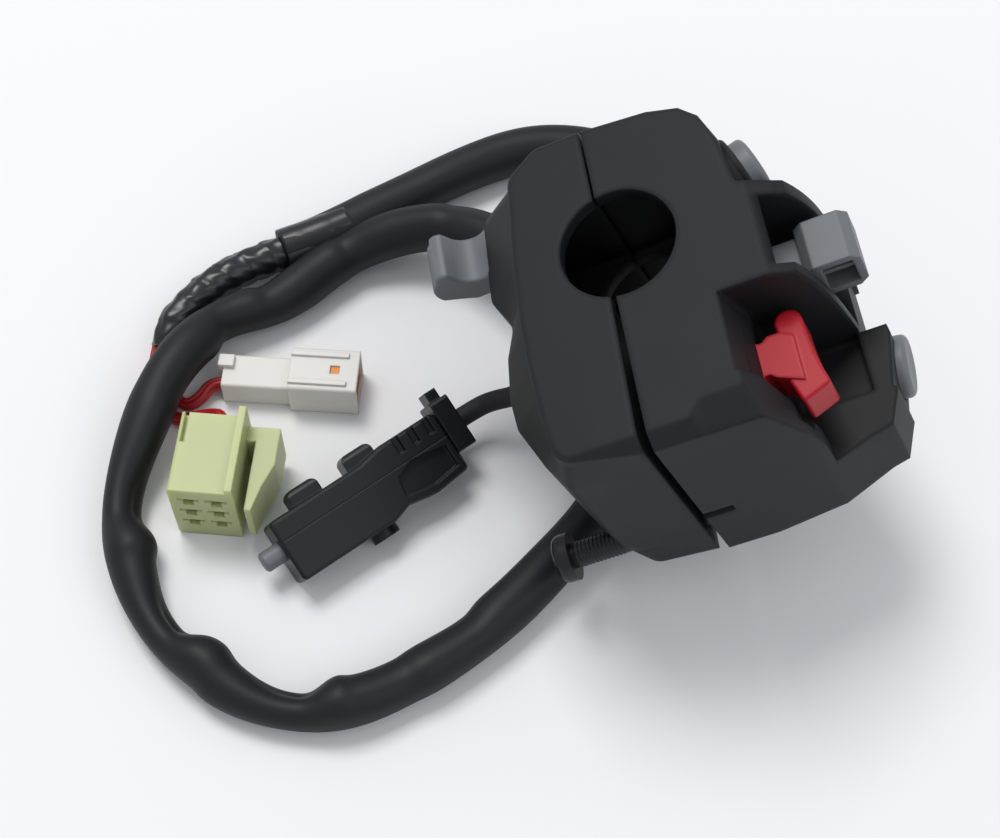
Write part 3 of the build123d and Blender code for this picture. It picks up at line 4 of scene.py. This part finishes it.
import bmesh
import bpy
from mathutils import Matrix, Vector


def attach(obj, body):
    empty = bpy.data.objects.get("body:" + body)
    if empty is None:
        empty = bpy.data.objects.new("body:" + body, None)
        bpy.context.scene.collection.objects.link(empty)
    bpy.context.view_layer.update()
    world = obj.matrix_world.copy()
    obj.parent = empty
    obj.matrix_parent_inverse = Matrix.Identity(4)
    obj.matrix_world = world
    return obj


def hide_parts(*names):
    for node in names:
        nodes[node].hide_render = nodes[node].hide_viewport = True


MM = 0.001
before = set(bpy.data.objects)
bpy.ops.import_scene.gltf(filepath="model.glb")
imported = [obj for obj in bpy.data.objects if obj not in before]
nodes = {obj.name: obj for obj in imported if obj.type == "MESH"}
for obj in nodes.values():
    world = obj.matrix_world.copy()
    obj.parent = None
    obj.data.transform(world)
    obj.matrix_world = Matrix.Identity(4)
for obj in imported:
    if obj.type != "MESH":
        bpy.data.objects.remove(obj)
bpy.ops.object.select_all(action="DESELECT")
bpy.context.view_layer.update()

TABLE_Z = -68.0 * MM
LEAN = math.radians(22.8)

# Scale of a noise texture with one grain to the millimetre, in a scene in metres. The grains are
# drawn coarser than the real ones, which would be too fine to show.
PER_MM = 1000.0
# Width in mm of the broad, hardly seen changes of tone and gloss, and how far the gloss changes
MOTTLE_SIZE = 14.0
GLOSSIER = 0.04
DULLER = 0.05
GRAIN_STRENGTH = 0.35


def linear(code):
    """An sRGB hex colour as linear RGBA."""
    parts = [int(code[i:i + 2], 16) / 255 for i in (0, 2, 4)]
    out = [p / 12.92 if p <= 0.04045 else ((p + 0.055) / 1.055) ** 2.4 for p in parts]
    return (*out, 1.0)


def add(tree, kind, settings=None, **inputs):
    """A new node with its settings, and its named sockets set to a value or linked from a socket."""
    node = tree.nodes.new(kind)
    for name, value in (settings or {}).items():
        setattr(node, name, value)
    for name, value in inputs.items():
        socket = node.inputs[name.replace("_", " ")]
        if isinstance(value, bpy.types.NodeSocket):
            tree.links.new(value, socket)
        else:
            socket.default_value = value
    return node


def material(name, colour, rough, grain=0.25, grain_depth=0.03, mottle=0.04, metal=0.0,
             specular=0.5, rounding=0.0):
    """A finish with a fine grain on a broad mottle, and edges that shade as round; sizes in mm."""
    mat = bpy.data.materials.new(name)
    mat.use_nodes = True
    tree = mat.node_tree
    shader = tree.nodes["Principled BSDF"]
    shader.inputs["Metallic"].default_value = metal
    shader.inputs["Specular IOR Level"].default_value = specular
    place = add(tree, "ShaderNodeTexCoord").outputs["Object"]
    fine = add(tree, "ShaderNodeTexNoise", Vector=place, Scale=PER_MM / grain, Detail=2.0)
    broad = add(tree, "ShaderNodeTexNoise", Vector=place, Scale=PER_MM / MOTTLE_SIZE, Detail=3.0)
    base = linear(colour)[:3]
    dark = (*(c * (1 - mottle) for c in base), 1.0)
    light = (*(min(1.0, c * (1 + mottle)) for c in base), 1.0)
    tone = add(tree, "ShaderNodeMix", {"data_type": "RGBA"}, Factor=broad.outputs["Fac"],
               A=dark, B=light)
    tree.links.new(tone.outputs["Result"], shader.inputs["Base Color"])
    gloss = add(tree, "ShaderNodeMapRange", Value=broad.outputs["Fac"], To_Min=rough - GLOSSIER,
                To_Max=rough + DULLER)
    tree.links.new(gloss.outputs["Result"], shader.inputs["Roughness"])
    bump = add(tree, "ShaderNodeBump", Strength=GRAIN_STRENGTH, Distance=grain_depth * MM,
               Height=fine.outputs["Fac"])
    if rounding:
        edge = add(tree, "ShaderNodeBevel", Radius=rounding * MM)
        tree.links.new(edge.outputs["Normal"], bump.inputs["Normal"])
    tree.links.new(bump.outputs["Normal"], shader.inputs["Normal"])
    return mat


def translucent(mat, weight, depths):
    """Light that goes into a pale nylon: its share, and how deep red, green and blue go in metres."""
    shader = mat.node_tree.nodes["Principled BSDF"]
    shader.inputs["Subsurface Weight"].default_value = weight
    shader.inputs["Subsurface Radius"].default_value = depths
    shader.inputs["Subsurface Scale"].default_value = 1.0


# Glass filled nylon from a spark eroded mould: a dry, nearly black satin with soft edges
CASE = material("satin black moulded case", "141517", 0.58, grain=0.22, grain_depth=0.035,
                specular=0.32, rounding=1.5)
# Plain nylon: lighter than all round it, so that it still shows deep in the case
CARRIER = material("grey nylon carrier", "8f8b84", 0.5)
# Small mouldings with a smoother skin, a little shinier than the case
SWITCH_BODY = material("satin black switch body", "202124", 0.42)
# Acetal through coloured grey: a soft, even sheen on the paddle, the trigger and the round buttons
GREY = material("mid grey moulded paddle", "666a6e", 0.48, grain=0.3, rounding=0.6)
# Polished mould, so the red rocker has the clearest highlights
RED = material("red moulded rocker", "a81222", 0.3, specular=0.28, grain=0.5, grain_depth=0.012,
               mottle=0.03, rounding=0.7)
# Smoother and blacker than the case, with light along its rounded edges
LEVER = material("black lever switch moulding", "101113", 0.36, grain=0.3, specular=0.35,
                 rounding=0.6)
# Moulded rubber, dull all over
RUBBER = material("matt black rubber", "1b1b1d", 0.7, grain=0.4)
# Extruded soft vinyl: wide, blurred highlights that show the waves and the creases
SLEEVE = material("soft black vinyl sleeve", "17181a", 0.52, grain=0.6, grain_depth=0.012,
                  specular=0.3)
# Stretched vinyl tape, with small sharp glints on its crumples
TAPE = material("glossy black vinyl tape", "1a1b1e", 0.3, grain=0.8, grain_depth=0.01)
# Thin vinyl insulation, deep red and slightly shiny
WIRE = material("red wire insulation", "a5121c", 0.4, grain=0.5, grain_depth=0.01)
# Smooth nylon: warm, clean white with a little glow inside
WHITE = material("warm white nylon connector", "d6d4cf", 0.42, grain=0.4, grain_depth=0.01,
                 mottle=0.01, rounding=0.4)
# Flat moulded orange, seen in the white connector's mouth and its small window
ORANGE = material("orange connector lock", "dc8a2c", 0.5, grain=0.4, grain_depth=0.01)
# Black chromate on steel: dark, with hard metal glints on the thread and the head
STEEL = material("black coated screw steel", "343436", 0.32, metal=0.85, grain=0.4,
                 grain_depth=0.01)
# Zinc plate, bright metal
ZINC = material("bright zinc plate", "b9bbbd", 0.3, metal=1.0, grain=0.5, grain_depth=0.01)
# Tinned brass, yellowish metal
BRASS = material("tinned brass contact", "b79b5a", 0.35, metal=1.0, grain=0.5, grain_depth=0.01)
# Bronze terminals darkened past their metal as painted shade of the cells, so dark that the green
# connector's cells look empty
PAINTED_SHADE_BRONZE = material("bronze terminal darkened as painted shade", "2e2a22", 0.5, metal=0.6, grain=0.5, grain_depth=0.01)
# Solder mask over a printed board
BOARD = material("green printed board", "1d5a33", 0.4, grain=0.5, grain_depth=0.01)
# Unfilled nylon, milky and pale green, with light soaking into its walls
GREEN = material("pale green translucent nylon", "b3ba86", 0.42, grain=0.5, grain_depth=0.01,
                 mottle=0.02, rounding=0.4)
translucent(GREEN, 0.6, (0.004, 0.004, 0.0022))
translucent(WHITE, 0.25, (0.002, 0.0016, 0.0012))

FINISHES = (
    (CASE, ("front_case", "rear_case", "top_button_bezel")),
    (STEEL, ("lower_clamp_screw", "upper_clamp_screw")),
    (ZINC, ("clamp_nuts", "carrier_screws", "turn_paddle_pin", "turn_detent_ball",
            "red_rocker_pin", "trigger_pin")),
    (CARRIER, ("switch_carrier",)),
    (BOARD, ("contact_board", "mode_board")),
    (GREY, ("top_button", "mode_button", "turn_paddle", "finger_trigger", "lever_plunger")),
    (SWITCH_BODY, ("top_key_switch", "mode_key_switch", "trigger_microswitch")),
    (RED, ("red_rocker",)),
    (WHITE, ("microswitch_pin", "white_connector_shell")),
    (RUBBER, ("harness_grommet", "lead_grommet")),
    (LEVER, ("lever_switch_body", "lever_switch_cover", "lever_switch_end")),
    (ORANGE, ("white_connector_lock",)),
    (BRASS, ("white_connector_contacts",)),
    (GREEN, ("green_connector_housing",)),
    # painted shade: the green connector's terminals are darkened to stand for the shade in its cells
    (PAINTED_SHADE_BRONZE, ("green_connector_terminals",)),
)
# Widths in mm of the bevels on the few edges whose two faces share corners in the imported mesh,
# and how much such an edge turns at least
SOFT_EDGES = (("front_case", 0.5), ("finger_trigger", 0.45))
SOFTENED_FROM = math.radians(28)


def finish_solids():
    """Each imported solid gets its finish, and two of them their soft edges."""
    for finish, names in FINISHES:
        for name in names:
            for slot in nodes[name].material_slots:
                slot.material = finish
    for name, width in SOFT_EDGES:
        bevel = nodes[name].modifiers.new("soft edges", "BEVEL")
        bevel.width = width * MM
        bevel.segments = 3
        bevel.limit_method = "ANGLE"
        bevel.angle_limit = SOFTENED_FROM
        bevel.harden_normals = False


# Routes of the cords in mm, the same as in the part's source
HARNESS_ROUTE = [
    (-7.62, 30.43, -48.33), (-18.28, 44.21, -52.81), (-28.8, 50.0, -56.5), (-40.7, 51.3, -60.3),
    (-52.0, 47.6, -62.6), (-62.0, 40.0, -62.75), (-77.5, 34.4, -60.9), (-87.4, 23.7, -57.1),
    (-96.5, 7.0, -60.6), (-100.4, -13.5, -62.75), (-96.2, -30.0, -62.75),
    (-86.0, -45.0, -62.75), (-75.0, -53.0, -62.75), (-60.5, -56.3, -62.75),
    (-44.8, -51.8, -62.75), (-25.5, -40.7, -62.75), (-8.0, -25.5, -62.75),
    (9.0, -8.5, -62.75), (23.0, 10.0, -62.75), (31.5, 31.0, -62.75), (30.3, 50.0, -62.75),
    (20.5, 64.5, -62.75), (5.0, 72.8, -62.75), (-11.5, 72.0, -62.75), (-38.0, 61.2, -62.75),
    (-50.0, 55.4, -62.75), (-62.0, 52.0, -62.75),
]
TAPED_ROUTE = [
    (-62.0, 52.0, -62.75), (-70.47, 49.6, -62.75), (-78.0, 45.9, -62.6), (-85.8, 38.8, -62.2),
]
WHITE_WIRES_ROUTE = [
    (-84.66, 37.54, -62.2), (-86.88, 35.52, -62.09), (-87.6, 31.9, -65.2), (-88.6, 27.8, -66.5),
    (-89.0, 23.4, -66.5), (-88.2, 19.6, -66.5), (-85.8, 17.9, -66.5), (-82.9, 19.1, -65.8),
    (-80.4, 21.85, -65.0), (-77.85, 21.28, -64.8),
]
GREEN_WIRES_ROUTE = [
    (-86.95, 40.05, -62.2), (-89.17, 38.03, -62.09), (-91.0, 34.1, -65.0), (-92.4, 29.2, -66.5),
    (-92.8, 23.6, -66.5), (-91.9, 18.2, -66.5), (-88.0, 14.2, -66.5), (-81.6, 13.6, -63.6),
    (-77.85, 9.7, -58.7), (-79.02, 4.9, -58.7),
]
LEAD_ROUTE = [
    (-14.76, 2.5, -52.42), (-18.5, 2.5, -53.99), (-22.0, 3.9, -56.9), (-25.35, 4.37, -59.5),
    (-30.27, 1.70, -59.5),
]
# Where the tape goes on past the taped end, narrowing onto the wires
TAPE_TAIL = [(-88.6, 35.4, -63.4), (-89.6, 32.2, -64.6)]

# Distance between two rings of a cord's mesh in mm
SLEEVE_STEP = 0.8
TAPE_STEP = 0.4
WIRE_STEP = 0.5

# The sleeve: its radius, how full it is, and how its creases are drawn. Each crease has its place
# along the sleeve and half width in mm, the angle that it faces, and its depth as a share of the
# radius, which is below zero where the sleeve bulges. Past its place it ends sooner than it began.
SLEEVE_RADIUS = 5.25 * MM
SLEEVE_FULLNESS = 0.982
SLEEVE_SIDES = 40
CREASE_FOCUS = 1.4
CREASE_END_SHARE = 0.38
SLEEVE_CREASES = (
    (72, 6, 1.4, 0.18), (84, 8, 3.3, 0.38), (132, 12, 3.0, 0.74), (104, 8, 2.6, 0.16),
    (161.5, 13, 2.9, 0.8), (172, 6, 0.6, 0.12), (192, 13, 2.8, 0.7), (213, 8, 1.8, 0.2),
    (230, 9, 3.0, 0.2), (262, 12, 1.9, 0.12), (50, 6, 2.2, 0.2), (25, 5, 1.2, 0.1),
    (141, 6, 2.9, -0.16), (172, 8, 2.8, -0.2), (200, 6, 2.6, -0.14),
)

# Tape round the sleeve's end: its length in mm, turns, the step of each turn and its flats
END_TAPE_LENGTH = 17
END_TAPE_TURNS = 2.6
END_TAPE_LAP = 0.012
END_TAPE_FULLNESS = 0.985
FLAT_DEPTH = 0.02
FLAT_COUNT = 4
FLAT_TWIST = 0.1

# The taped end: radius, distance between two turns in mm, and heights as shares of the radius
TAPED_RADIUS = 4.0 * MM
TAPED_FULLNESS = 0.93
TAPE_PITCH = 5.2
LAP_HEIGHT = 0.05
CRUMPLE_DEPTH = 0.05
TAPER = 0.22

# Wires of one connector: how many, radius, distance from the bundle's middle, turn at each ring
WIRE_COUNT = 4
WIRE_RADIUS = 0.63 * MM
WIRE_SPREAD = 0.85 * MM
WIRE_TWIST = 0.035
WIRE_SIDES = 14
LEAD_RADIUS = 2.1 * MM
LEAD_SIDES = 28


def route_points(name, route, step):
    """Evenly spaced points along a NURBS curve through a route in mm, and the curve's length."""
    data = bpy.data.curves.new(name, "CURVE")
    data.dimensions = "3D"
    spline = data.splines.new("NURBS")
    spline.points.add(len(route) - 1)
    for point, place in zip(spline.points, route):
        point.co = (*(c * MM for c in place), 1.0)
    spline.order_u = 3
    spline.use_endpoint_u = True
    spline.resolution_u = 24
    curve = bpy.data.objects.new(name, data)
    bpy.context.collection.objects.link(curve)
    graph = bpy.context.evaluated_depsgraph_get()
    mesh = bpy.data.meshes.new_from_object(curve.evaluated_get(graph))
    dense = [v.co.copy() for v in mesh.vertices]
    bpy.data.objects.remove(curve)
    total = sum((b - a).length for a, b in zip(dense, dense[1:]))
    count = max(2, round(total / (step * MM)))
    points = [dense[0]]
    gone = 0.0
    i = 0
    for k in range(1, count):
        want = total * k / count
        while gone + (dense[i + 1] - dense[i]).length < want:
            gone += (dense[i + 1] - dense[i]).length
            i += 1
        span = (dense[i + 1] - dense[i]).length
        points.append(dense[i].lerp(dense[i + 1], (want - gone) / span))
    points.append(dense[-1])
    return points, total


def frames_along(points):
    """Side and up vectors at each point, square to the line and turning as little as possible."""
    tangents = []
    for i in range(len(points)):
        before = points[max(0, i - 1)]
        after = points[min(len(points) - 1, i + 1)]
        tangents.append((after - before).normalized())
    side = tangents[0].cross(Vector((0, 0, 1))).normalized()
    out = []
    for tangent in tangents:
        side = (side - tangent * side.dot(tangent)).normalized()
        out.append((side, side.cross(tangent).normalized()))
    return out


def tube(name, points, radius, mat, sides):
    """A closed tube along points; its radius in metres is a number, or a function of ring and angle."""
    mesh = bpy.data.meshes.new(name)
    bm = bmesh.new()
    rings = []
    for i, (p, (side, up)) in enumerate(zip(points, frames_along(points))):
        ring = []
        for k in range(sides):
            a = 2 * math.pi * k / sides
            r = radius(i, a) if callable(radius) else radius
            ring.append(bm.verts.new(p + side * math.cos(a) * r + up * math.sin(a) * r))
        rings.append(ring)
    for one, two in zip(rings, rings[1:]):
        for k in range(sides):
            n = (k + 1) % sides
            bm.faces.new((one[k], two[k], two[n], one[n]))
    bm.faces.new(rings[0])
    bm.faces.new(list(reversed(rings[-1])))
    bm.normal_update()
    bmesh.ops.recalc_face_normals(bm, faces=bm.faces)
    bm.to_mesh(mesh)
    bm.free()
    piece = bpy.data.objects.new(name, mesh)
    bpy.context.collection.objects.link(piece)
    mesh.materials.append(mat)
    for face in mesh.polygons:
        face.use_smooth = True
    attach(piece, "housing")
    return piece


def harness_sleeve(points, length):
    """The soft sleeve over the wires, with shallow waves and with creases where it bends."""
    count = len(points)

    def sag(i, a):
        """Radius of the sleeve; the numbers that divide s are lengths of waves in mm."""
        s = i / count * length / MM
        roll = 0.02 * math.sin(s / 9.0 + 1.3 * math.sin(s / 23.0)) * math.cos(a * 2 + s / 31.0)
        ripple = 0.012 * math.sin(s / 4.1 + 2.0 * math.sin(a)) * math.sin(a + s / 17.0)
        twist = 0.012 * math.cos(a * 3 + s / 26.0)
        wave = roll + ripple + twist
        for place, half, side, depth in SLEEVE_CREASES:
            facing = (0.5 + 0.5 * math.cos(a - side)) ** CREASE_FOCUS
            reach = half if s < place else CREASE_END_SHARE * half
            wave -= depth * math.exp(-((s - place) / reach) ** 2) * facing
        return SLEEVE_RADIUS * (SLEEVE_FULLNESS + wave)

    sleeve = tube("harness_sleeve_skin", points, sag, SLEEVE, SLEEVE_SIDES)
    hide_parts("harness_sleeve")
    return sleeve


def sleeve_end_tape(points, length):
    """Tape pulled tight round the sleeve's end, in flats and overlapping turns."""
    last = points[-round(END_TAPE_LENGTH * len(points) * MM / length):]

    def flats(i, a):
        """Radius of the tape, one step more with each turn."""
        lap = END_TAPE_LAP * math.floor(i / len(last) * END_TAPE_TURNS + a / (2 * math.pi))
        flat = FLAT_DEPTH * math.cos(a * FLAT_COUNT + i * FLAT_TWIST)
        return SLEEVE_RADIUS * (END_TAPE_FULLNESS + flat + lap)

    return tube("sleeve_end_tape", last, flats, TAPE, SLEEVE_SIDES)


def taped_end():
    """Crumpled turns of tape from the sleeve to where the wires come out, thinner towards them."""
    points, length = route_points("taped route", TAPED_ROUTE + TAPE_TAIL, TAPE_STEP)
    count = len(points)

    def wrap(i, a):
        """Radius of the tape, rising through each turn and thinning towards the wires."""
        s = i / count * length / MM
        lap = (s / TAPE_PITCH + a / (2 * math.pi)) % 1.0
        crumple = CRUMPLE_DEPTH * math.sin(s * 1.1 + 3 * math.cos(a * 2)) * math.cos(a * 3 + s * 0.4)
        thinner = TAPER * (s * MM / length) ** 3
        return TAPED_RADIUS * (TAPED_FULLNESS + LAP_HEIGHT * lap + crumple - thinner)

    taped = tube("taped_end_skin", points, wrap, TAPE, SLEEVE_SIDES)
    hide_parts("harness_taped_end")
    return taped


def wire_bundle(connector, route, node):
    """The thin wires of one connector, lying beside each other with a slow twist."""
    points, _ = route_points(f"{connector} wires route", route, WIRE_STEP)
    frames = frames_along(points)
    wires = []
    for k in range(WIRE_COUNT):
        line = []
        for i, (p, (side, up)) in enumerate(zip(points, frames)):
            a = 2 * math.pi / WIRE_COUNT * k + math.pi / WIRE_COUNT + i * WIRE_TWIST
            line.append(p + (side * math.cos(a) + up * math.sin(a)) * WIRE_SPREAD)
        wires.append(tube(f"{connector}_wire_{k + 1}", line, WIRE_RADIUS, WIRE, WIRE_SIDES))
    for wire in wires:
        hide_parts(node)
    return wires


def lever_lead():
    """The lever switch's short round lead."""
    points, _ = route_points("lead route", LEAD_ROUTE, WIRE_STEP)
    lead = tube("lever_lead_skin", points, LEAD_RADIUS, RUBBER, LEAD_SIDES)
    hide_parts("lever_switch_lead")


def build_cords():
    """The harness with all that its end carries, and the lever switch's lead."""
    points, length = route_points("harness route", HARNESS_ROUTE, SLEEVE_STEP)
    sleeve = harness_sleeve(points, length)
    on_sleeve = [sleeve_end_tape(points, length), taped_end()]
    on_sleeve += wire_bundle("white", WHITE_WIRES_ROUTE, "white_connector_wires")
    on_sleeve += wire_bundle("green", GREEN_WIRES_ROUTE, "green_connector_wires")
    lever_lead()
    on_sleeve += [nodes[name] for name in (
        "white_connector_shell", "white_connector_lock", "white_connector_contacts",
        "green_connector_housing", "green_connector_terminals",
    )]


# Thread of the lower clamp screw in mm, on the upright case: its start, axis, radius, pitch and crest
THREAD_START = -30.4
THREAD_Y = -36.7
THREAD_Z = -42.0
THREAD_RADIUS = 2.46
THREAD_PITCH = 0.8
THREAD_TURNS = 12
THREAD_CREST = 0.2
THREAD_SIDES = 6
TURN_STEPS = 20


def upright(x, y, z):
    """A place in mm on the upright case, in the frame's leaning pose and in metres."""
    c, s = math.cos(LEAN), math.sin(LEAN)
    return Vector((x * c - z * s, y, x * s + z * c)) * MM


def screw_thread():
    """The rolled thread on the part of the lower clamp screw that stands out."""
    line = []
    for i in range(THREAD_TURNS * TURN_STEPS + 1):
        a = 2 * math.pi * i / TURN_STEPS
        line.append(upright(THREAD_START + THREAD_PITCH * i / TURN_STEPS,
                            THREAD_Y + THREAD_RADIUS * math.cos(a),
                            THREAD_Z + THREAD_RADIUS * math.sin(a)))
    tube("lower_screw_thread", line, THREAD_CREST * MM, STEEL, THREAD_SIDES)


# The floor lies a hair below the table's height, so that nothing on it flickers
FLOOR_SIZE = 6.0
FLOOR_DROP = 0.05 * MM
SKY_COLOUR = (0.93, 0.95, 1.0, 1.0)
SKY_STRENGTH = 0.6
# Soft square lamps: name, place and size in metres, power in watts, colour
LAMPS = (
    ("key", (-0.35, 0.7, 1.7), 0.75, 20.5, (1.0, 0.99, 0.97)),
    ("fill", (0.9, -0.7, 1.1), 1.0, 4.0, (0.95, 0.97, 1.0)),
)
LAMPS_AIM = Vector((-0.02, 0.0, -0.03))
# The photograph's view: the camera's place in metres, its turn, how far it looks down, and its lens
CAMERA_PLACE = (-0.049216, -0.184449, 0.264954)
CAMERA_TURN = math.radians(-8.6)
CAMERA_DOWN = math.radians(60.0)
FOCAL_LENGTH = 64.8
SENSOR_WIDTH = 36.0
NEAREST_SEEN = 0.01


def floor():
    """A plain sheet of pale matt paper under the part."""
    bpy.ops.mesh.primitive_plane_add(size=FLOOR_SIZE, location=(0, 0, TABLE_Z - FLOOR_DROP))
    sheet = bpy.context.object
    sheet.name = "floor"
    mat = bpy.data.materials.new("pale paper floor")
    mat.use_nodes = True
    shader = mat.node_tree.nodes["Principled BSDF"]
    shader.inputs["Base Color"].default_value = linear("ebebec")
    shader.inputs["Roughness"].default_value = 0.85
    shader.inputs["Specular IOR Level"].default_value = 0.2
    sheet.data.materials.append(mat)


def light():
    """A pale even sky, a large lamp behind and above the part, and a weak one in front."""
    world = bpy.data.worlds.new("studio")
    bpy.context.scene.world = world
    world.use_nodes = True
    back = world.node_tree.nodes["Background"]
    back.inputs["Color"].default_value = SKY_COLOUR
    back.inputs["Strength"].default_value = SKY_STRENGTH
    for name, place, size, power, colour in LAMPS:
        data = bpy.data.lights.new(name, "AREA")
        data.size = size
        data.energy = power
        data.color = colour
        lamp = bpy.data.objects.new(name, data)
        bpy.context.collection.objects.link(lamp)
        lamp.location = place
        aim = LAMPS_AIM - lamp.location
        lamp.rotation_euler = aim.to_track_quat("-Z", "Y").to_euler()


def camera():
    """The camera, where the photograph was taken from."""
    data = bpy.data.cameras.new("camera")
    data.lens = FOCAL_LENGTH
    data.sensor_width = SENSOR_WIDTH
    data.clip_start = NEAREST_SEEN
    cam = bpy.data.objects.new("camera", data)
    bpy.context.collection.objects.link(cam)
    cam.location = CAMERA_PLACE
    cam.rotation_euler = (math.pi / 2 - CAMERA_DOWN, 0.0, CAMERA_TURN)
    bpy.context.scene.camera = cam


finish_solids()
build_cords()
screw_thread()
floor()
light()
camera()
bpy.context.scene.view_settings.view_transform = "Standard"
